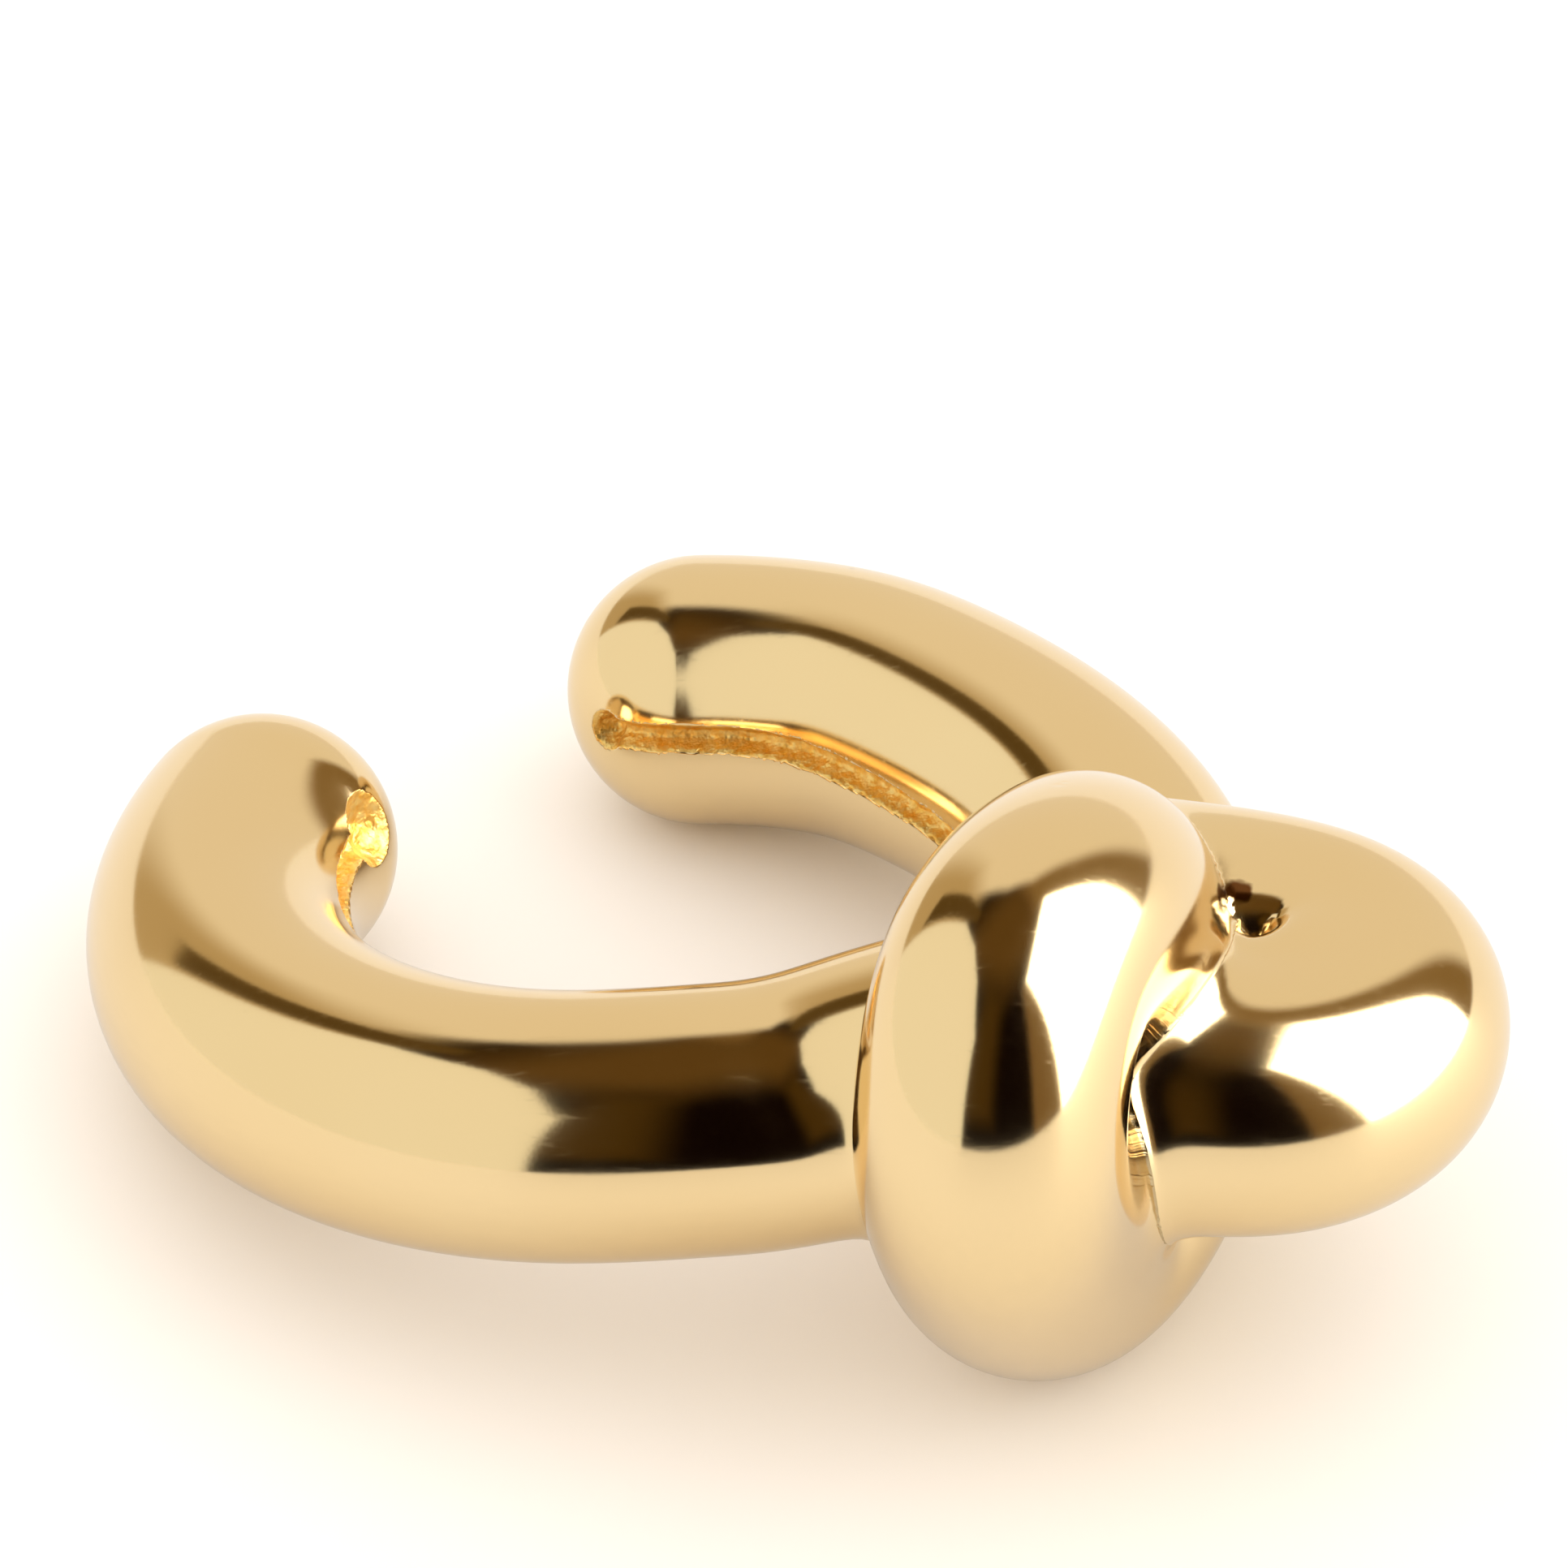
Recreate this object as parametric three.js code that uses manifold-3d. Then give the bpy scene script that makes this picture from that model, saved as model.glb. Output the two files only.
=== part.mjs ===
import * as THREE from 'three';
import { mergeVertices } from 'three/addons/utils/BufferGeometryUtils.js';
import Module from 'manifold-3d';

// Knotted ear cuff. A round strand is bent into an open ring and tied in one tight knot opposite
// the gap. It is cast in one piece and gold plated. Millimetres and degrees, +Z up.

// Sizes of the strand and of the ring that it makes
const strandDiameter = 4;      // the strand is round all the way
const ringRadius = 6.2;        // ring centre to the middle of the strand
const frontTipAngle = 155.7;   // where the front arm starts, counted anticlockwise from +X
const frontArmEnd = 279.5;     // where the front arm leaves the ring for the knot
const backArmStart = 48.7;     // where the strand is back on the ring
const backTipAngle = 82.2;     // where the back arm ends
const knotAngle = -40;         // the knot's middle, on the ring
const restLean = 11.7;         // lean of the ring when the cuff lies down, the gap side low

// Sizes of the matt channel along the inner face of both arms
const channelWidth = 0.44;
const channelDepth = 0.28;
const frontChannelLift = 20;   // height of the channel's line above the ring's plane, as an angle
const backChannelLift = 9.5;
const frontPocketDiameter = 1.15;  // round pocket that the channel starts in, near each tip
const backPocketDiameter = 0.62;
const pocketDepth = 0.34;
const frontPocketReach = -2;   // how far round the tip's dome the pocket lies, as an angle
const backPocketReach = 36;
const backChannelOverrun = 1.6;    // how far the back channel runs on into the knot, in strand diameters

// The strand's way through the knot, in strand diameters from the knot's middle: out from the
// ring's centre, along the ring from the front arm to the back arm, and up. The strand is drawn
// towards these points and does not pass through them.
const knotWay = [
  { at: 'straight run', out: -0.14, along: -0.72, up: -0.07 },
  { at: 'straight run', out: 0.45, along: -0.26, up: 0.22 },
  { at: 'front limb', out: 1.4, along: -0.06, up: 0.03 },
  { at: 'lobe', out: 1.54, along: 0.65, up: -0.03 },
  { at: 'rear limb', out: 0.97, along: 1.13, up: 0.03 },
  { at: 'rear limb', out: 0.18, along: 0.36, up: 0.25 },
  { at: 'over', out: 0.86, along: -0.07, up: 0.86 },
  { at: 'over', out: 1.1, along: -0.85, up: 1.11 },
  { at: 'down the front', out: 1.21, along: -1.22, up: 0.53 },
  { at: 'down the front', out: 1.04, along: -1, up: 0.06 },
  { at: 'under', out: 0.44, along: -0.21, up: -0.85 },
  { at: 'under', out: 0.57, along: 0.29, up: -0.46 },
  { at: 'back arm', out: -0.19, along: 1.37, up: -0.1 },
];

// Places along the strand, as shares of its length, where its stretches are joined
const lobeShare = 0.432;       // outermost place of the lobe
const frontShare = 0.71;       // low on the knot's front

// Points that draw each arm, counted in steps from its start to its end
const frontArmSteps = 6;
const backArmSteps = 2;

// Fineness of the facets
const sides = 26;              // round the strand
const sectionStep = 0.58;      // along the strand
const channelSides = 8;
const pocketSides = 16;
const meetTolerance = 0.008;   // corners closer than this, where two faces meet, become one

// Ring frame: the ring lies in this plane, centred on the origin, until the cuff is laid down
const strandRadius = strandDiameter / 2;
const inRing = (radius, angle, up = 0) => {
  const a = THREE.MathUtils.degToRad(angle);
  return new THREE.Vector3(radius * Math.cos(a), radius * Math.sin(a), up);
};

// Points that draw the strand round an arm, evenly spaced and a hair outside the ring, because
// such a curve runs inside its points
function armPoints(from, to, count, before, after) {
  const step = (to - from) / count;
  const outside = ringRadius * 3 / (2 + Math.cos(THREE.MathUtils.degToRad(step)));
  const points = [];
  for (let i = -before; i <= count + after; i++) points.push(inRing(outside, from + i * step));
  return points;
}

// Knot points, from shares of the strand's diameter to the ring frame
function knotPoints() {
  const middle = inRing(ringRadius, knotAngle);
  const outward = inRing(1, knotAngle);
  const onward = inRing(1, knotAngle + 90);
  return knotWay.map(({ out, along, up }) => middle.clone()
    .addScaledVector(outward, out * strandDiameter)
    .addScaledVector(onward, along * strandDiameter)
    .add(new THREE.Vector3(0, 0, up * strandDiameter)));
}

// Middle line of the strand, a smooth curve whose bend changes without a jerk
class StrandLine extends THREE.Curve {
  constructor(points) {
    super();
    this.points = points;
    this.arcLengthDivisions = 1500;
  }
  getPoint(t, target = new THREE.Vector3()) {
    const spans = this.points.length - 3;
    const first = Math.min(Math.floor(t * spans), spans - 1);
    const f = t * spans - first;
    const pull = [(1 - f) ** 3, 3 * f ** 3 - 6 * f ** 2 + 4, 3 * f + 3 * f ** 2 - 3 * f ** 3 + 1, f ** 3];
    target.set(0, 0, 0);
    pull.forEach((share, k) => target.addScaledVector(this.points[first + k], share / 6));
    return target;
  }
}

const frontArmPoints = armPoints(frontTipAngle, frontArmEnd, frontArmSteps, 1, 0);
const backArmPoints = armPoints(backArmStart, backTipAngle, backArmSteps, 0, 1);
const line = new StrandLine([...frontArmPoints, ...knotPoints(), ...backArmPoints]);
const sections = Math.round(line.getLength() / sectionStep);
const places = line.getSpacedPoints(sections);
const frames = line.computeFrenetFrames(sections);

// A stretch of the strand between two of its sections. Neighbouring stretches share a section.
class Stretch extends THREE.Curve {
  constructor(first, last) {
    super();
    this.range = [first, last + 1];
  }
  getPoint(t) {
    return places[Math.round(THREE.MathUtils.lerp(this.range[0], this.range[1] - 1, t))].clone();
  }
  getSpacedPoints() {
    return places.slice(...this.range);
  }
  computeFrenetFrames() {
    return {
      tangents: frames.tangents.slice(...this.range),
      normals: frames.normals.slice(...this.range),
      binormals: frames.binormals.slice(...this.range),
    };
  }
}

// Joining and cutting of closed solids
const wasm = await Module();
wasm.setup();

function solidOf(geometry) {
  const bare = geometry.clone();
  bare.deleteAttribute('normal');
  bare.deleteAttribute('uv');
  const merged = mergeVertices(bare, 1e-5);
  const solid = new wasm.Manifold(new wasm.Mesh({
    numProp: 3,
    vertProperties: new Float32Array(merged.attributes.position.array),
    triVerts: new Uint32Array(merged.index.array),
  }));
  return solid;
}

// Plain faceted skin of a solid, with the specks left where its pieces met drawn together
function geometryOf(solid) {
  const mesh = solid.asOriginal().simplify(meetTolerance).getMesh();
  const corner = (i) => new THREE.Vector3().fromArray(mesh.vertProperties, 3 * i);
  const kept = Array.from({ length: mesh.vertProperties.length / 3 }, (_, i) => i);
  const keptOf = (i) => (kept[i] === i ? i : keptOf(kept[i]));
  const faces = [];
  for (let i = 0; i < mesh.triVerts.length; i += 3) faces.push([...mesh.triVerts.slice(i, i + 3)]);
  for (const face of faces) {
    for (let k = 0; k < 3; k++) {
      const [a, b] = [keptOf(face[k]), keptOf(face[(k + 1) % 3])];
      if (a !== b && corner(a).distanceTo(corner(b)) < meetTolerance) kept[b] = a;
    }
  }
  const whole = faces.map((face) => face.map(keptOf)).filter(([a, b, c]) => a !== b && b !== c && c !== a);
  const geometry = new THREE.BufferGeometry();
  geometry.setAttribute('position', new THREE.BufferAttribute(new Float32Array(mesh.vertProperties), 3));
  geometry.setIndex(new THREE.BufferAttribute(new Uint32Array(whole.flat()), 1));
  return geometry;
}

// Many-sided section whose flats touch the true round
function roundSection(radius, count) {
  const reach = radius / Math.cos(Math.PI / count);
  const corner = (k) => new THREE.Vector2(
    reach * Math.cos(2 * Math.PI * k / count), reach * Math.sin(2 * Math.PI * k / count));
  return new THREE.Shape(Array.from({ length: count }, (_, k) => corner(k)));
}

function stretchOf(first, last) {
  return solidOf(new THREE.ExtrudeGeometry(roundSection(strandRadius, sides), {
    steps: last - first, bevelEnabled: false, extrudePath: new Stretch(first, last),
  }));
}

// Domed tip: a ball on the strand's end, its equator on the end section's corners
function domeAt(section) {
  const ball = new THREE.SphereGeometry(strandRadius / Math.cos(Math.PI / sides), sides, sides / 2 + 1);
  const turn = new THREE.Matrix4().makeBasis(
    frames.normals[section].clone().negate(), frames.tangents[section], frames.binormals[section]);
  return solidOf(ball.applyMatrix4(turn.setPosition(places[section])));
}

// Middle line of a channel: along the inner face of an arm at a fixed lift, and past the arm's
// end round the dome of the tip. It starts in the pocket and runs towards the knot.
class ChannelLine extends THREE.Curve {
  constructor(tip, inward, lift, reach, run, radius) {
    super();
    Object.assign(this, { tip, inward, lift, reach, run, radius });
  }
  getPoint(t, target = new THREE.Vector3()) {
    const turn = THREE.MathUtils.degToRad(this.reach) * strandRadius;
    const past = turn - t * (turn + this.run);
    const length = line.getLength();
    const u = THREE.MathUtils.clamp(Math.max(-past, 0) / length, 0, 1);
    const along = this.tip ? 1 - u : u;
    const onward = line.getTangentAt(along).multiplyScalar(this.tip ? -1 : 1);
    const up = new THREE.Vector3(0, 0, 1);
    const side = new THREE.Vector3().crossVectors(up, onward).normalize().multiplyScalar(this.inward);
    up.crossVectors(onward, side).multiplyScalar(this.inward).normalize();
    const lift = THREE.MathUtils.degToRad(this.lift);
    side.multiplyScalar(Math.cos(lift)).addScaledVector(up, Math.sin(lift));
    const swing = Math.max(past, 0) / strandRadius;
    return target.copy(line.getPointAt(along))
      .addScaledVector(side, this.radius * Math.cos(swing))
      .addScaledVector(onward, -this.radius * Math.sin(swing));
  }
}

// Cutter of one channel: the channel itself, its far end and the pocket near the tip
function channelCutter(tip, inward, lift, reach, run, pocketDiameter) {
  const half = channelWidth / 2;
  const way = (radius) => new ChannelLine(tip, inward, lift, reach, run, radius);
  const middle = way(strandRadius + half - channelDepth);
  const groove = solidOf(new THREE.ExtrudeGeometry(roundSection(half, channelSides), {
    steps: Math.round(run / sectionStep), bevelEnabled: false, extrudePath: middle,
  }));
  const pocketRadius = pocketDiameter / 2;
  const seat = way(strandRadius + pocketRadius - pocketDepth).getPoint(0);
  const pocket = new THREE.SphereGeometry(pocketRadius, pocketSides, pocketSides * 3 / 4).translate(...seat.toArray());
  return groove.add(solidOf(pocket));
}

// Cuff: three stretches that meet at the lobe's outermost point and low on the knot's front, with
// a dome on each tip. The channels are cut first, so that the knot closes over their inner ends.
const lobeSection = Math.round(lobeShare * sections);
const frontSection = Math.round(frontShare * sections);
const frontRun = THREE.MathUtils.degToRad(frontArmEnd - frontTipAngle) * ringRadius;
const backRun = THREE.MathUtils.degToRad(backTipAngle - backArmStart) * ringRadius
  + backChannelOverrun * strandDiameter;

const frontArm = stretchOf(0, lobeSection).add(domeAt(0))
  .subtract(channelCutter(false, 1, frontChannelLift, frontPocketReach, frontRun, frontPocketDiameter));
const wrap = stretchOf(lobeSection, frontSection);
const backArm = stretchOf(frontSection, sections).add(domeAt(sections))
  .subtract(channelCutter(true, -1, backChannelLift, backPocketReach, backRun, backPocketDiameter));

// Lay the cuff down: lean it towards the gap, then bring the middle of its footprint to the origin
const gapAngle = (frontTipAngle + backTipAngle) / 2;
const cuffGeometry = geometryOf(frontArm.add(wrap).add(backArm));
cuffGeometry.applyMatrix4(new THREE.Matrix4().makeRotationAxis(
  inRing(1, gapAngle + 90), THREE.MathUtils.degToRad(restLean)));
cuffGeometry.computeBoundingBox();
const box = cuffGeometry.boundingBox;
cuffGeometry.translate(
  -(box.min.x + box.max.x) / 2, -(box.min.y + box.max.y) / 2, -box.min.z);

const gold = new THREE.MeshStandardMaterial({ color: 0xe2bd7c, roughness: 0.12, metalness: 1 });
const knotCuff = new THREE.Mesh(cuffGeometry, gold);
knotCuff.name = 'knot_cuff';

const group = new THREE.Group();
group.add(knotCuff);
export default group;
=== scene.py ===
"""Knotted ear cuff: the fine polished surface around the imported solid, and a plain pale studio."""

import math

import bmesh
import bpy
import numpy as np
from mathutils import Matrix, Vector


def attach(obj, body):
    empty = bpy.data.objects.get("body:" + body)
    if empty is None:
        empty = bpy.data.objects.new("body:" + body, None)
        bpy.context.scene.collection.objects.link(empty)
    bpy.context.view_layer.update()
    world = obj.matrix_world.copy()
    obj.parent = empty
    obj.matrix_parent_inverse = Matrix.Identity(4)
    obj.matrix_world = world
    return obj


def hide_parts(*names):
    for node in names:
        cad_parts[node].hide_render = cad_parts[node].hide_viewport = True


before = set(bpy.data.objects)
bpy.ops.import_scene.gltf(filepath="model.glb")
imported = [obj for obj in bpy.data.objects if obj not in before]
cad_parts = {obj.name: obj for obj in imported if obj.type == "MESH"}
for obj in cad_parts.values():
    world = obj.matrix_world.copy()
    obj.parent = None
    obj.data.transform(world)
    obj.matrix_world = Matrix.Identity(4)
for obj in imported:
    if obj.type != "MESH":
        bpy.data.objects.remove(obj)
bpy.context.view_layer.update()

# The cuff's strand: one round bar, bent into an open ring and tied in a single knot opposite the
# gap, cast in brass. The line down its middle is drawn here with the same sizes as the solid, in
# millimetres and degrees, and it goes down to metres when the skin is finished.
STRAND_RADIUS = 2.0
RING_RADIUS = 6.2
FRONT_TIP_ANGLE = 155.7
FRONT_ARM_END = 279.5
BACK_ARM_START = 48.7
BACK_TIP_ANGLE = 82.2
KNOT_ANGLE = -40.0
REST_LEAN = 11.7
MILLIMETRE = 0.001

# out from the ring's centre, along the ring, up: in strand diameters from the knot's middle
KNOT_WAY = [
    # out, along, up
    (-0.14, -0.72, -0.07),  # straight run
    (0.45, -0.26, 0.22),
    (1.4, -0.06, 0.03),  # front limb of the lobe
    (1.54, 0.65, -0.03),
    (0.97, 1.13, 0.03),  # rear limb
    (0.18, 0.36, 0.25),
    (0.86, -0.07, 0.86),  # over
    (1.1, -0.85, 1.11),
    (1.21, -1.22, 0.53),  # down the front
    (1.04, -1.0, 0.06),
    (0.44, -0.21, -0.85),  # under
    (0.57, 0.29, -0.46),
    (-0.19, 1.37, -0.1),  # back arm
]


def in_ring(radius, angle, up=0.0):
    turn = math.radians(angle)
    return np.array([radius * math.cos(turn), radius * math.sin(turn), up])


def arm_points(start, end, count, before, after):
    """Points that draw an arm round the ring, a hair outside it."""
    step = (end - start) / count
    outside = RING_RADIUS * 3 / (2 + math.cos(math.radians(step)))
    return [in_ring(outside, start + i * step) for i in range(-before, count + after + 1)]


def knot_points():
    middle = in_ring(RING_RADIUS, KNOT_ANGLE)
    outward, onward = in_ring(1, KNOT_ANGLE), in_ring(1, KNOT_ANGLE + 90)
    diameter = 2 * STRAND_RADIUS
    return [
        middle + diameter * (out * outward + along * onward + np.array([0, 0, up]))
        for out, along, up in KNOT_WAY
    ]


def strand_line(points, count):
    """Even run of places down the strand's middle, with the direction at each."""
    spans = len(points) - 3
    t = np.linspace(0, spans, 6001)
    first = np.minimum(t.astype(int), spans - 1)
    f = (t - first)[:, None]
    pulls = ((1 - f) ** 3, 3 * f**3 - 6 * f**2 + 4, 3 * f + 3 * f**2 - 3 * f**3 + 1, f**3)
    places = sum(pull / 6 * points[first + k] for k, pull in enumerate(pulls))
    run = np.concatenate([[0], np.cumsum(np.linalg.norm(np.diff(places, axis=0), axis=1))])
    even = np.linspace(0, run[-1], count)
    line = np.stack([np.interp(even, run, places[:, k]) for k in range(3)], axis=1)
    ways = np.gradient(line, axis=0)
    return line, ways / np.linalg.norm(ways, axis=1, keepdims=True), run[-1]


draw_points = np.array(
    arm_points(FRONT_TIP_ANGLE, FRONT_ARM_END, 6, 1, 0)
    + knot_points()
    + arm_points(BACK_ARM_START, BACK_TIP_ANGLE, 2, 0, 1)
)

# Laid down, the ring leans towards its gap, and the cuff's footprint is centred on the origin
gap_angle = (FRONT_TIP_ANGLE + BACK_TIP_ANGLE) / 2
lean = np.array(Matrix.Rotation(math.radians(REST_LEAN), 3, Vector(in_ring(1, gap_angle + 90))))
draw_points = draw_points @ lean.T
ring_up = lean @ np.array([0, 0, 1.0])
LINE_PLACES = 640
line, ways, line_length = strand_line(draw_points, LINE_PLACES)
SPACING = line_length / (LINE_PLACES - 1)
low, high = line.min(axis=0) - STRAND_RADIUS, line.max(axis=0) + STRAND_RADIUS
footing = np.array([(low[0] + high[0]) / 2, (low[1] + high[1]) / 2, low[2]])
line -= footing


# Casting: the strand is swept round its line and closed with a dome at each tip, as the wax
# model is rolled, then all of it flows into one skin where the strand runs into itself.
SWEEP_SECTIONS = 420
SWEEP_SIDES = 96
SKIN_GRAIN = 0.13  # size of the skin's faces
DOME_RINGS = SWEEP_SIDES // 2
FINER_CUTS = 2  # cuts along each face's edge where the skin is made finer


def add_input(tree, name, kind, value):
    socket = tree.interface.new_socket(name, in_out="INPUT", socket_type=kind)
    socket.default_value = value
    return socket


def strand_tree(material):
    tree = bpy.data.node_groups.new("strand casting", "GeometryNodeTree")
    tree.interface.new_socket("Geometry", in_out="INPUT", socket_type="NodeSocketGeometry")
    add_input(tree, "Strand Radius", "NodeSocketFloat", STRAND_RADIUS)
    add_input(tree, "Sections", "NodeSocketInt", SWEEP_SECTIONS)
    add_input(tree, "Sides", "NodeSocketInt", SWEEP_SIDES)
    tree.interface.new_socket("Geometry", in_out="OUTPUT", socket_type="NodeSocketGeometry")
    node, join = tree.nodes.new, tree.links.new
    given = node("NodeGroupInput")
    to_curve = node("GeometryNodeMeshToCurve")
    join(given.outputs["Geometry"], to_curve.inputs["Mesh"])
    evenly = node("GeometryNodeResampleCurve")
    join(to_curve.outputs["Curve"], evenly.inputs["Curve"])
    join(given.outputs["Sections"], evenly.inputs["Count"])
    section = node("GeometryNodeCurvePrimitiveCircle")
    join(given.outputs["Sides"], section.inputs["Resolution"])
    join(given.outputs["Strand Radius"], section.inputs["Radius"])
    sweep = node("GeometryNodeCurveToMesh")
    sweep.inputs["Fill Caps"].default_value = True
    join(evenly.outputs["Curve"], sweep.inputs["Curve"])
    join(section.outputs["Curve"], sweep.inputs["Profile Curve"])
    tips = node("GeometryNodeCurveEndpointSelection")
    dome = node("GeometryNodeMeshUVSphere")
    dome.inputs["Segments"].default_value = SWEEP_SIDES
    dome.inputs["Rings"].default_value = DOME_RINGS
    join(given.outputs["Strand Radius"], dome.inputs["Radius"])
    on_tips = node("GeometryNodeInstanceOnPoints")
    join(evenly.outputs["Curve"], on_tips.inputs["Points"])
    join(tips.outputs["Selection"], on_tips.inputs["Selection"])
    join(dome.outputs["Mesh"], on_tips.inputs["Instance"])
    together = node("GeometryNodeJoinGeometry")
    join(sweep.outputs["Mesh"], together.inputs["Geometry"])
    join(on_tips.outputs["Instances"], together.inputs["Geometry"])
    real = node("GeometryNodeRealizeInstances")
    join(together.outputs["Geometry"], real.inputs["Geometry"])
    finish = node("GeometryNodeSetMaterial")
    finish.inputs["Material"].default_value = material
    join(real.outputs["Geometry"], finish.inputs["Geometry"])
    made = node("NodeGroupOutput")
    join(finish.outputs["Geometry"], made.inputs["Geometry"])
    return tree


def set_input(modifier, name, value):
    for item in modifier.node_group.interface.items_tree:
        if getattr(item, "in_out", "") == "INPUT" and item.name == name:
            modifier[item.identifier] = value


def cast_strand(points, material):
    """Closed skin of the whole strand, in millimetres."""
    wire = bpy.data.meshes.new("strand_wire")
    wire.from_pydata([tuple(p) for p in points], [(i, i + 1) for i in range(len(points) - 1)], [])
    blank = bpy.data.objects.new("strand_blank", wire)
    bpy.context.collection.objects.link(blank)
    sweep = blank.modifiers.new("strand", "NODES")
    sweep.node_group = strand_tree(material)
    set_input(sweep, "Strand Radius", STRAND_RADIUS)
    set_input(sweep, "Sections", SWEEP_SECTIONS)
    set_input(sweep, "Sides", SWEEP_SIDES)
    flow = blank.modifiers.new("flow", "REMESH")
    flow.mode = "VOXEL"
    flow.voxel_size = SKIN_GRAIN
    flow.adaptivity = 0.0
    seen = blank.evaluated_get(bpy.context.evaluated_depsgraph_get())
    skin = bpy.data.meshes.new_from_object(seen)
    bpy.data.objects.remove(blank)
    bpy.data.meshes.remove(wire)
    return skin


# Channel: a narrow groove along the inner face of each arm, left as it came from the mould, so it
# is rough and deep in colour. It starts in a round pocket near the tip and runs into the knot.
CHANNEL_WIDTH = 0.44
CHANNEL_DEPTH = 0.28
POCKET_DEPTH = 0.34
RAGGED_SIZE = 0.16  # size of the unevenness of the channel's edges
CHANNEL_PLACES = 220
CHANNELS = [
    # at the line's end, side of the line, lift and reach round the tip in degrees, pocket, run
    {"end": False, "side": 1, "lift": 20.0, "reach": -2.0, "pocket": 1.15, "run": 13.4},
    {"end": True, "side": -1, "lift": 9.5, "reach": 36.0, "pocket": 0.62, "run": 10.0},
]


def channel_line(end, side, lift, reach, pocket, run):
    """Places along the middle of a channel, on the strand's skin, from the pocket inwards."""
    turn = math.radians(reach) * STRAND_RADIUS
    past = turn - np.linspace(0, 1, CHANNEL_PLACES) * (turn + run)
    at = np.maximum(-past, 0) / line_length * (LINE_PLACES - 1)
    at = LINE_PLACES - 1 - at if end else at
    index = np.arange(LINE_PLACES)
    middle = np.stack([np.interp(at, index, line[:, k]) for k in range(3)], axis=1)
    onward = np.stack([np.interp(at, index, ways[:, k]) for k in range(3)], axis=1)
    onward *= -1 if end else 1
    inward = np.cross(ring_up, onward)
    inward *= side / np.linalg.norm(inward, axis=1, keepdims=True)
    up = side * np.cross(onward, inward)
    facing = math.cos(math.radians(lift)) * inward + math.sin(math.radians(lift)) * up
    swing = np.maximum(past, 0)[:, None] / STRAND_RADIUS
    return middle + STRAND_RADIUS * (np.cos(swing) * facing - np.sin(swing) * onward)


def roughness_of(places, size, seed):
    """Even unevenness from -1 to 1, the same each run, for ragged edges."""
    draw = np.random.default_rng(seed)
    value = np.zeros(len(places))
    for octave in range(3):
        waves = draw.normal(size=(10, 3)) * (2**octave) / size
        shifts = draw.uniform(0, 2 * math.pi, 10)
        value += np.sin(places @ waves.T + shifts).mean(axis=1) / (1.5**octave)
    return value


def nearest(places, targets, chunk=8000):
    """Distance from each place to the nearest target, and which target it is."""
    far = np.empty(len(places))
    which = np.empty(len(places), dtype=int)
    squares = (targets**2).sum(axis=1)
    for start in range(0, len(places), chunk):
        part = places[start : start + chunk]
        apart = (part**2).sum(axis=1)[:, None] - 2 * part @ targets.T + squares
        best = apart.argmin(axis=1)
        which[start : start + chunk] = best
        far[start : start + chunk] = np.sqrt(np.maximum(apart[np.arange(len(part)), best], 0))
    return far, which


# Polishing: the skin is brought to the true round of the strand, with the soft fillet that wax and
# polish leave where the strand runs into itself, and the channels are sunk into it. The skin is
# made finer along the channels and the seams. The hollow inside the lobe is nearly filled.
FILLET = 0.3
SELF_APART = 6.0  # strand this far along the line counts as another run
SEAM_REACH = 0.3  # the skin is made finer this close to a seam
CHANNEL_MARGIN = 0.16  # and this close to a channel
FOOT_STEPS = 3
POLISH_STEPS = 5
STRONGEST_PULL = 4
HOLLOW_PLACE = np.array([6.8, -2.95, 6.55])  # between the lobe's limbs and the bead
HOLLOW_REACH = np.array([1.0, 1.0, 0.75])
HOLLOW_FILL = 0.5
LEAST_RISE = 0.004  # less than this leaves the polished round as it is


def off_the_skin(places, at):
    """Depth of the skin and its outward way, from the strand's run close to a place along it."""
    for _ in range(FOOT_STEPS):
        before = np.clip(at.astype(int), 0, LINE_PLACES - 2)
        share = (at - before)[:, None]
        middle = line[before] * (1 - share) + line[before + 1] * share
        way = ways[before] * (1 - share) + ways[before + 1] * share
        bend = (ways[before + 1] - ways[before]) / SPACING
        offset = places - middle
        slide = (offset * way).sum(axis=1) / np.maximum(1 - (offset * bend).sum(axis=1), 0.1)
        at = np.clip(at + slide / SPACING, 0, LINE_PLACES - 1)
    size = np.linalg.norm(offset, axis=1)
    return size - STRAND_RADIUS, offset / size[:, None], at


def fed_by_other_runs(places, depth, at):
    """How much the other runs of the strand feed the fillet at each place, and from which way."""
    index = np.arange(LINE_PLACES)
    squares = (line**2).sum(axis=1)
    each = SPACING / math.sqrt(2 * math.pi * STRAND_RADIUS * FILLET)
    fed, fed_way = np.zeros(len(places)), np.zeros_like(places)
    for start in range(0, len(places), 4000):
        some = slice(start, start + 4000)
        part = places[some]
        apart = (part**2).sum(axis=1)[:, None] - 2 * part @ line.T + squares
        far = np.sqrt(np.maximum(apart, 1e-6))
        near = (depth[some, None] + STRAND_RADIUS - far) / FILLET
        pull = each * np.exp(np.minimum(near, STRONGEST_PULL))
        pull[np.abs(index - at[some, None]) * SPACING < SELF_APART] = 0
        per_length = pull / far
        fed[some] = pull.sum(axis=1)
        fed_way[some] = part * per_length.sum(axis=1)[:, None] - per_length @ line
    return fed, fed_way


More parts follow.
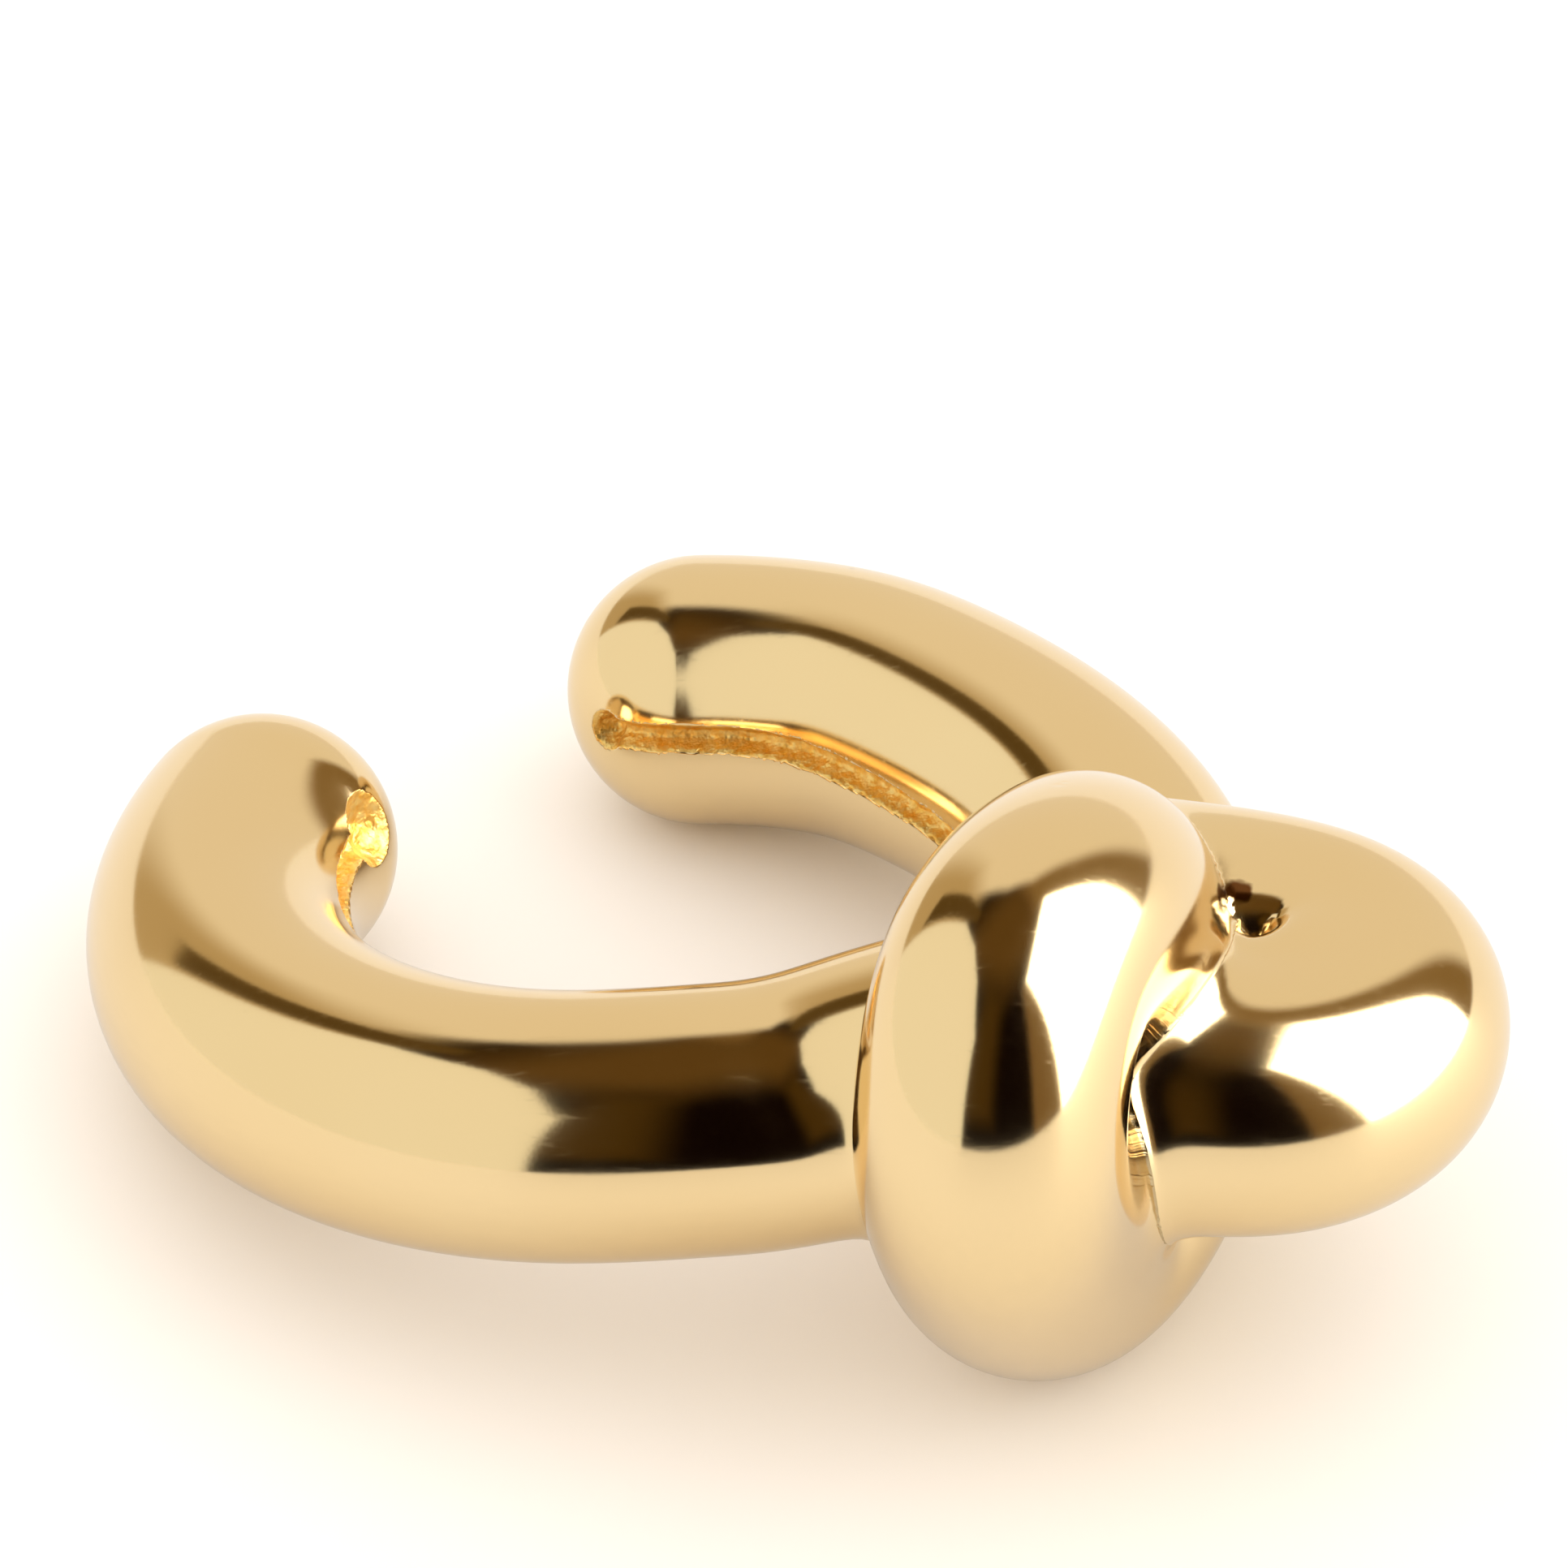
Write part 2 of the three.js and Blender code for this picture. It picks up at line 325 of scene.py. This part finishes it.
def polish(places):
    """Places on the finished skin, its outward ways, and how far the seam with the next run is."""
    places = places.copy()
    at = nearest(places, line)[1].astype(float)
    for _ in range(POLISH_STEPS):
        depth, way, at = off_the_skin(places, at)
        fed, fed_way = fed_by_other_runs(places, depth, at)
        slope = (way + fed_way) / (1 + fed)[:, None]
        steep = np.linalg.norm(slope, axis=1)
        level = depth - FILLET * np.log1p(fed)
        places -= slope * (level / np.maximum(steep, 0.3) ** 2)[:, None]
    return places, slope / steep[:, None], -FILLET * np.log(fed + 1e-9)


def fill_hollow(places):
    """Raises the hollow inside the lobe, as solder fills it. Gives back how much at each place."""
    rise = HOLLOW_FILL * np.exp(-(((places - HOLLOW_PLACE) / HOLLOW_REACH) ** 2).sum(axis=1))
    places[:, 2] += rise
    return rise


def soft_step(share):
    """Goes from 0 to 1 with a rounded start and a rounded end."""
    share = np.clip(share, 0, 1)
    return share**1.2 * (2.2 - 1.2 * share)


def sink_channels(places, out):
    """Moves places down into the channels. Gives them back with how far inside a channel each is."""
    inside = np.full(len(places), -9.0)
    sunk = np.zeros(len(places))
    for number, channel in enumerate(CHANNELS):
        course = channel_line(**channel)
        apart, which = nearest(places, course)
        ragged = roughness_of(places, RAGGED_SIZE, 40 + number)
        half = CHANNEL_WIDTH / 2 * (1 + 0.13 * ragged)
        into = half - apart
        depth = CHANNEL_DEPTH * soft_step(into / half * 1.25) * (1 + 0.16 * ragged)
        pocket = channel["pocket"] / 2 * (1 + 0.06 * ragged)
        from_pocket = pocket - np.linalg.norm(places - course[0], axis=1)
        bowl = POCKET_DEPTH * soft_step(from_pocket / pocket * 1.3) * (1 + 0.2 * ragged)
        inside = np.maximum(inside, np.maximum(into, from_pocket))
        sunk = np.maximum(sunk, np.maximum(depth, bowl))
    return places - out * sunk[:, None], inside, sunk


# Gold: a thin plating over the polished brass, mirror bright, with faint waviness, hairline
# polishing marks, a few casting pits, and a rough, deeper gold where the buff doesn't reach.
# The shade inside one small pit by the solder is painted dark into the colour.
# painted shade: around this place the plating's colour is turned near-black brown, standing in for
# the pit's shade
SOLDER_PIT = (6.45, -2.25, 6.93)  # small dark pit where the solder stops short of the bead
CASTING_PITS = [
    # place on the skin and reach, in millimetres
    ((3.825, -3.993, 10.491), 0.16),
    ((3.9, -3.85, 10.42), 0.1),
    ((-2.783, -6.158, 4.418), 0.09),
    ((0.839, 8.4, 3.996), 0.1),
    ((8.496, -5.605, 6.685), 0.08),
]


def gold_material():
    gold = bpy.data.materials.new("polished_gold_plate")
    gold.use_nodes = True
    nodes, join = gold.node_tree.nodes, gold.node_tree.links.new
    shader = nodes["Principled BSDF"]
    shader.inputs["Metallic"].default_value = 1.0
    shader.inputs["Specular IOR Level"].default_value = 0.5
    place = nodes.new("ShaderNodeTexCoord")

    def noise(scale, detail, stretch=None, turn=(0, 0, 0)):
        texture = nodes.new("ShaderNodeTexNoise")
        texture.inputs["Scale"].default_value = scale
        texture.inputs["Detail"].default_value = detail
        source = place.outputs["Object"]
        if stretch:
            mapping = nodes.new("ShaderNodeMapping")
            mapping.inputs["Scale"].default_value = stretch
            mapping.inputs["Rotation"].default_value = turn
            join(source, mapping.inputs["Vector"])
            source = mapping.outputs["Vector"]
        join(source, texture.inputs["Vector"])
        return texture.outputs["Fac"]

    def spread(value, low_in, high_in, low_out, high_out, smooth=False):
        node = nodes.new("ShaderNodeMapRange")
        node.interpolation_type = "SMOOTHSTEP" if smooth else "LINEAR"
        for name, number in zip(
            ("From Min", "From Max", "To Min", "To Max"), (low_in, high_in, low_out, high_out)
        ):
            node.inputs[name].default_value = number
        join(value, node.inputs["Value"])
        return node.outputs["Result"]

    def combine(operation, a, b):
        node = nodes.new("ShaderNodeMath")
        node.operation = operation
        for socket, value in zip(node.inputs, (a, b)):
            if isinstance(value, (int, float)):
                socket.default_value = value
            else:
                join(value, socket)
        return node.outputs["Value"]

    def blend(share, a, b):
        node = nodes.new("ShaderNodeMix")
        node.data_type = "RGBA"
        join(share, node.inputs["Factor"])
        for socket, value in zip((node.inputs[6], node.inputs[7]), (a, b)):
            if isinstance(value, tuple):
                socket.default_value = (*value, 1)
            else:
                join(value, socket)
        return node.outputs[2]

    channel = nodes.new("ShaderNodeAttribute")
    channel.attribute_name = "in_channel"
    rough_place = spread(channel.outputs["Fac"], -0.012, 0.012, 0, 1, True)
    seam = nodes.new("ShaderNodeAttribute")
    seam.attribute_name = "to_seam"
    near_seam = spread(seam.outputs["Fac"], 0.0, 0.35, 1, 0, True)

    # colour
    plating = blend(spread(noise(160, 2), 0.3, 0.7, 0, 1), (0.88, 0.66, 0.345), (0.895, 0.685, 0.37))
    mould = blend(spread(noise(5200, 3), 0.35, 0.65, 0, 1), (0.9, 0.52, 0.1), (0.98, 0.72, 0.26))
    # painted shade: a ragged near-black brown spot at the solder pit stands in for the shade inside
    # that recess
    from_pit = nodes.new("ShaderNodeVectorMath")
    from_pit.operation = "DISTANCE"
    join(place.outputs["Object"], from_pit.inputs[0])
    from_pit.inputs[1].default_value = [value * MILLIMETRE for value in SOLDER_PIT]
    ragged = combine("MULTIPLY", noise(4500, 1), 0.22 * MILLIMETRE)
    from_pit_edge = combine("SUBTRACT", from_pit.outputs["Value"], ragged)
    in_pit = spread(from_pit_edge, 0.03 * MILLIMETRE, 0.13 * MILLIMETRE, 1, 0, True)
    plating_with_pit_shade = blend(in_pit, plating, (0.16, 0.06, 0.015))
    join(blend(rough_place, plating_with_pit_shade, mould), shader.inputs["Base Color"])

    # roughness
    buff = spread(noise(420, 2), 0.3, 0.75, 0.09, 0.14)
    hairline = noise(900, 1, (1, 14, 14), (0.2, 0.1, 0.6))
    buff = combine("ADD", buff, spread(hairline, 0.62, 0.8, 0, 0.05))
    buff = combine("ADD", buff, combine("MULTIPLY", near_seam, 0.05))
    grain = spread(noise(9000, 1), 0.3, 0.7, 0.34, 0.58)
    final = nodes.new("ShaderNodeMix")
    join(rough_place, final.inputs["Factor"])
    join(buff, final.inputs[2])
    join(grain, final.inputs[3])
    join(final.outputs[0], shader.inputs["Roughness"])

    # relief: waviness, hairlines, pits and fine mottling on the plating, grain in the channel
    wave = noise(520, 1)
    relief = combine("ADD", combine("MULTIPLY", wave, 0.5), combine("MULTIPLY", hairline, 0.02))
    relief = combine("ADD", relief, combine("MULTIPLY", noise(14000, 0), 0.035))
    for spot, size in CASTING_PITS:
        apart = nodes.new("ShaderNodeVectorMath")
        apart.operation = "DISTANCE"
        join(place.outputs["Object"], apart.inputs[0])
        apart.inputs[1].default_value = [value * MILLIMETRE for value in spot]
        dent = spread(apart.outputs["Value"], 0.0, size * MILLIMETRE, -1, 0, True)
        relief = combine("ADD", relief, combine("MULTIPLY", dent, 2.0))
    smooth_bump = nodes.new("ShaderNodeBump")
    smooth_bump.inputs["Strength"].default_value = 0.35
    smooth_bump.inputs["Distance"].default_value = 0.01 * MILLIMETRE
    join(relief, smooth_bump.inputs["Height"])
    rough_bump = nodes.new("ShaderNodeBump")
    rough_bump.inputs["Distance"].default_value = 0.06 * MILLIMETRE
    join(combine("MULTIPLY", rough_place, 0.9), rough_bump.inputs["Strength"])
    join(noise(6500, 2), rough_bump.inputs["Height"])
    join(smooth_bump.outputs["Normal"], rough_bump.inputs["Normal"])
    join(rough_bump.outputs["Normal"], shader.inputs["Normal"])
    return gold


def skin_places(mesh):
    flat = np.empty(len(mesh.vertices) * 3)
    mesh.vertices.foreach_get("co", flat)
    return flat.reshape(-1, 3)


def make_finer(mesh, chosen, cuts):
    """Cuts the faces whose corners are all chosen into smaller ones."""
    work = bmesh.new()
    work.from_mesh(mesh)
    work.verts.ensure_lookup_table()
    edges = {
        edge
        for face in work.faces
        if all(chosen[corner.index] for corner in face.verts)
        for edge in face.edges
    }
    edges = sorted(edges, key=lambda edge: edge.index)
    bmesh.ops.subdivide_edges(work, edges=edges, cuts=cuts, use_grid_fill=True)
    work.to_mesh(mesh)
    work.free()
    mesh.update()


gold = gold_material()
skin = cast_strand(line, gold)
places, outward, to_seam = polish(skin_places(skin))
in_channel = sink_channels(places, outward)[1]
near_channel = in_channel > -CHANNEL_MARGIN
skin.vertices.foreach_set("co", places.ravel())
make_finer(skin, near_channel | (to_seam < SEAM_REACH), FINER_CUTS)
places, outward, to_seam = polish(skin_places(skin))
places, in_channel, sunk = sink_channels(places, outward)
raised = fill_hollow(places)
skin.vertices.foreach_set("co", (places * MILLIMETRE).ravel())
skin.update()
for name, values in (("in_channel", in_channel), ("to_seam", to_seam)):
    layer = skin.attributes.new(name, "FLOAT", "POINT")
    layer.data.foreach_set("value", values.astype(np.float32))
skin.polygons.foreach_set("use_smooth", np.ones(len(skin.polygons), dtype=bool))
rough_way = np.empty(len(skin.vertices) * 3)
skin.vertex_normals.foreach_get("vector", rough_way)
reshaped = (sunk > 0) | (raised > LEAST_RISE)
facing = np.where(reshaped[:, None], rough_way.reshape(-1, 3), outward)
skin.normals_split_custom_set_from_vertices(facing.tolist())
skin.materials.clear()
skin.materials.append(gold)
cuff = bpy.data.objects.new("gold_knot_cuff", skin)
bpy.context.collection.objects.link(cuff)
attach(cuff, "root")
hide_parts("knot_cuff")

# Table: a smooth white sheet, wide enough to fill every view, on which the cuff lies.
TABLE_REACH = 3.0


def table_material():
    paper = bpy.data.materials.new("white_table_sheet")
    paper.use_nodes = True
    nodes, join = paper.node_tree.nodes, paper.node_tree.links.new
    shader = nodes["Principled BSDF"]
    shader.inputs["Specular IOR Level"].default_value = 0.25
    place = nodes.new("ShaderNodeTexCoord")
    fibre = nodes.new("ShaderNodeTexNoise")
    fibre.inputs["Scale"].default_value = 900
    fibre.inputs["Detail"].default_value = 4
    join(place.outputs["Object"], fibre.inputs["Vector"])
    tone = nodes.new("ShaderNodeValToRGB")
    tone.color_ramp.elements[0].color = (0.77, 0.79, 0.82, 1)
    tone.color_ramp.elements[1].color = (0.81, 0.83, 0.86, 1)
    join(fibre.outputs["Fac"], tone.inputs["Fac"])
    # straight to the eye the sheet is so bright that it bleaches out
    bleach = nodes.new("ShaderNodeMix")
    bleach.data_type = "RGBA"
    join(nodes.new("ShaderNodeLightPath").outputs["Is Camera Ray"], bleach.inputs["Factor"])
    join(tone.outputs["Color"], bleach.inputs[6])
    bleach.inputs[7].default_value = (1.0, 0.995, 0.985, 1)
    join(bleach.outputs[2], shader.inputs["Base Color"])
    shader.inputs["Roughness"].default_value = 0.55
    return paper


corner_ways = [(-1, -1), (1, -1), (1, 1), (-1, 1)]
table_corners = [(x * TABLE_REACH, y * TABLE_REACH, 0) for x, y in corner_ways]
table_mesh = bpy.data.meshes.new("table_sheet")
table_mesh.from_pydata(table_corners, [], [(0, 1, 2, 3)])
table_mesh.materials.append(table_material())
table = bpy.data.objects.new("table_sheet", table_mesh)
bpy.context.collection.objects.link(table)

# Studio: a large soft box stands to the right, a white card to the left, pale paper behind, and
# the room towards the camera is dark and brown. Corners are directions from the cuff: degrees
# round from straight behind it, rightwards, and degrees up.
ROOM = (0.004, 0.0015, 0.001)
STUDIO = [
    # part, colour, softness of the edge, corners
    (
        "ceiling",
        (0.11, 0.06, 0.014),
        0.25,
        [(-90, 52), (0, 58), (90, 58), (178, 66), (-150, 66)],
    ),
    (
        "room at the left",
        (0.06, 0.032, 0.005),
        0.12,
        [(-178, 12), (-178, 60), (-150, 66), (-150, 12)],
    ),
    (
        "wall at the right",
        (0.2, 0.125, 0.05),
        0.05,
        [(120, -10), (133, 66), (150, 60), (146, -10)],
    ),
    (
        "wall by the soft box",
        (0.24, 0.15, 0.055),
        0.1,
        [(30, -28), (5, 64), (44, 72), (66, -28)],
    ),
    (
        "paper behind",
        (0.86, 0.79, 0.69),
        0.07,
        [(-50, -30), (-44, 46), (-16, 62), (14, 60), (34, 38), (50, -30)],
    ),
    (
        "paper in shade",
        (0.52, 0.4, 0.23),
        0.14,
        [(-66, -6), (-62, 50), (-42, 52), (-28, 34), (-28, -6)],
    ),
    (
        "card's edge",
        (0.1, 0.06, 0.015),
        0.02,
        [(-52, 14), (-60, 60), (-50, 60), (-42, 44), (-42, 20)],
    ),
    (
        "card at the left",
        (0.95, 0.94, 0.89),
        0.015,
        [(-158, -20), (-152, 44), (-124, 63), (-84, 64), (-60, 52), (-50, -20)],
    ),
    (
        "soft box",
        (5.0, 5.0, 4.9),
        0.012,
        [(64, -27), (55, 30), (36, 62), (60, 70), (120, 71), (143, 64), (122, -9)],
    ),
]

# Light on the table and on what the gold throws back on it: from the room and from the soft box.
# Only what is seen straight in the gold shows the studio's parts.
DOME_LIGHT = (1.28, 1.2, 1.13)
SOFT_BOX_LIGHT = (1.62, 1.56, 1.5)
BEHIND_THE_TABLE = (1.0, 1.0, 1.0)


def direction(round_, up):
    a, e = math.radians(round_), math.radians(up)
    return Vector((math.sin(a) * math.cos(e), math.cos(a) * math.cos(e), math.sin(e)))


studio = bpy.data.worlds.new("studio")
bpy.context.scene.world = studio
studio.use_nodes = True
studio_nodes, studio_join = studio.node_tree.nodes, studio.node_tree.links.new
studio_nodes.clear()
studio.cycles.sampling_method = "NONE"  # the light is broad and soft, so nothing aims at it
look = studio_nodes.new("ShaderNodeTexCoord").outputs["Generated"]


def within(corners, softness):
    """Share from 0 to 1 of being between the corners, seen from the cuff."""
    ring = [direction(*corner) for corner in corners]
    centre = sum(ring, Vector()).normalized()
    least = None
    for a, b in zip(ring, ring[1:] + ring[:1]):
        edge = a.cross(b).normalized()
        side = studio_nodes.new("ShaderNodeVectorMath")
        side.operation = "DOT_PRODUCT"
        side.inputs[1].default_value = edge if edge.dot(centre) > 0 else -edge
        studio_join(look, side.inputs[0])
        if least is None:
            least = side.outputs["Value"]
            continue
        lower = studio_nodes.new("ShaderNodeMath")
        lower.operation = "MINIMUM"
        studio_join(least, lower.inputs[0])
        studio_join(side.outputs["Value"], lower.inputs[1])
        least = lower.outputs["Value"]
    fade = studio_nodes.new("ShaderNodeMapRange")
    fade.interpolation_type = "SMOOTHSTEP"
    fade.inputs["From Min"].default_value = -softness
    fade.inputs["From Max"].default_value = softness
    studio_join(least, fade.inputs["Value"])
    return fade.outputs["Result"]


def painted(share, under, over):
    node = studio_nodes.new("ShaderNodeMix")
    node.data_type = "RGBA"
    studio_join(share, node.inputs["Factor"])
    for socket, colour in ((node.inputs[6], under), (node.inputs[7], over)):
        if isinstance(colour, tuple):
            socket.default_value = (*colour, 1)
        else:
            studio_join(colour, socket)
    return node.outputs[2]


shown = ROOM
for part, colour, softness, corners in STUDIO:
    share = within(corners, softness)
    shown = painted(share, shown, colour)
soft_light = painted(share, DOME_LIGHT, SOFT_BOX_LIGHT)

path = studio_nodes.new("ShaderNodeLightPath")
straight_from_gold = studio_nodes.new("ShaderNodeMath")
straight_from_gold.operation = "GREATER_THAN"
studio_join(path.outputs["Is Glossy Ray"], straight_from_gold.inputs[0])
studio_join(path.outputs["Diffuse Depth"], straight_from_gold.inputs[1])
in_gold = straight_from_gold.outputs["Value"]
light = painted(in_gold, soft_light, shown)
light = painted(path.outputs["Is Camera Ray"], light, BEHIND_THE_TABLE)
lit = studio_nodes.new("ShaderNodeBackground")
studio_join(light, lit.inputs["Color"])
world_out = studio_nodes.new("ShaderNodeOutputWorld")
studio_join(lit.outputs["Background"], world_out.inputs["Surface"])

# Camera: far off with a long lens, looking down at the cuff from the front at 41 degrees.
CAMERA_ELEVATION = 40.91
CAMERA_PLACE = (-0.17, -532.76, 468.7)  # millimetres
FILM_WIDTH = 36.0
LENS = 1106.3

camera_data = bpy.data.cameras.new("camera")
camera_data.sensor_width = FILM_WIDTH
camera_data.lens = LENS
camera_data.clip_start = 0.01
camera_data.clip_end = 50.0
camera = bpy.data.objects.new("camera", camera_data)
camera.location = Vector(CAMERA_PLACE) * MILLIMETRE
camera.rotation_euler = (math.radians(90 - CAMERA_ELEVATION), 0, 0)
bpy.context.collection.objects.link(camera)
bpy.context.scene.camera = camera
bpy.context.scene.view_settings.view_transform = "Standard"
